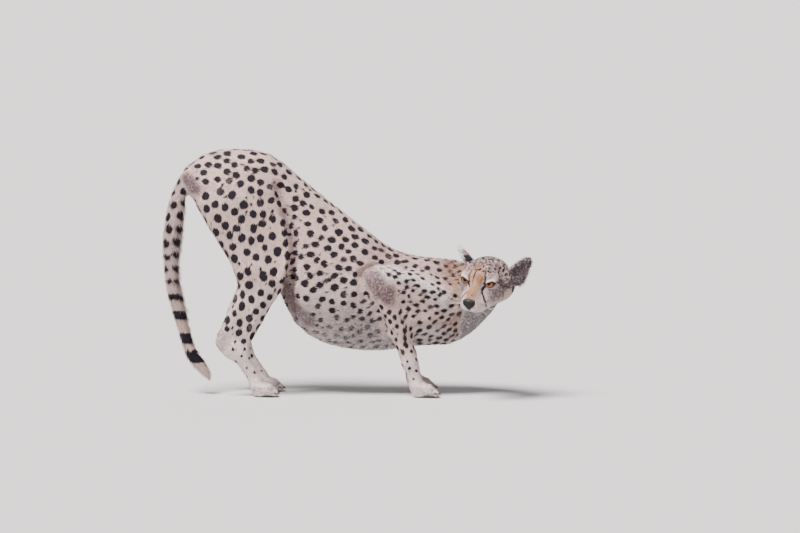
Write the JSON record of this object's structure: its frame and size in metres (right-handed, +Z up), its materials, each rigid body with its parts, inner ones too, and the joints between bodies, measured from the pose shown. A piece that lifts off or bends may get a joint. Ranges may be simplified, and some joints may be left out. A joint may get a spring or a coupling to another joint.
{
  "type": "cheetah figure",
  "caption": "Life-size cheetah that stands with its hips high and forequarters crouched, head turned to one side, as a still display model.",
  "frame": {"origin": "on the floor, under the middle of the animal's bounding box", "axes": "+X is the way the body faces, from hips to chest, +Y is the animal's left and +Z is up; the head is turned to the right, towards -Y"},
  "size_m": [1.1218, 0.425, 0.7497],
  "materials": {
    "coat": "short dense fur, cream to tan with solid dark spots",
    "pale_coat": "short pale fur of the chin and feet with small dark spots",
    "dark_coat": "short dark fur of the ears and longer fur at the end of the tail",
    "nose": "moist pebbled nose leather",
    "eye": "wet amber eye with a round black pupil",
    "claw": "smooth dark horn"
  },
  "bodies": {
    "root": {"hips": "coat", "belly": "coat", "chest": "coat", "neck": "coat", "tail_root": "coat", "tail_middle": "coat", "tail_tip": "dark_coat", "thigh_right": "coat", "shank_right": "coat", "hind_foot_right": "pale_coat", "hind_paw_right": "pale_coat", "hind_claw_right_1": "claw", "hind_claw_right_2": "claw", "hind_claw_right_3": "claw", "hind_claw_right_4": "claw", "thigh_left": "coat", "shank_left": "coat", "hind_foot_left": "pale_coat", "hind_paw_left": "pale_coat", "hind_claw_left_1": "claw", "hind_claw_left_2": "claw", "hind_claw_left_3": "claw", "hind_claw_left_4": "claw", "upper_arm_right": "coat", "forearm_right": "coat", "wrist_right": "pale_coat", "fore_paw_right": "pale_coat", "fore_claw_right_1": "claw", "fore_claw_right_2": "claw", "fore_claw_right_3": "claw", "fore_claw_right_4": "claw", "upper_arm_left": "coat", "forearm_left": "coat", "wrist_left": "pale_coat", "fore_paw_left": "pale_coat", "fore_claw_left_1": "claw", "fore_claw_left_2": "claw", "fore_claw_left_3": "claw", "fore_claw_left_4": "claw", "head": "coat", "jaw": "pale_coat", "nose": "nose", "eye_right": "eye", "ear_right": "dark_coat", "eye_left": "eye", "ear_left": "dark_coat"}
  },
  "joints": []
}
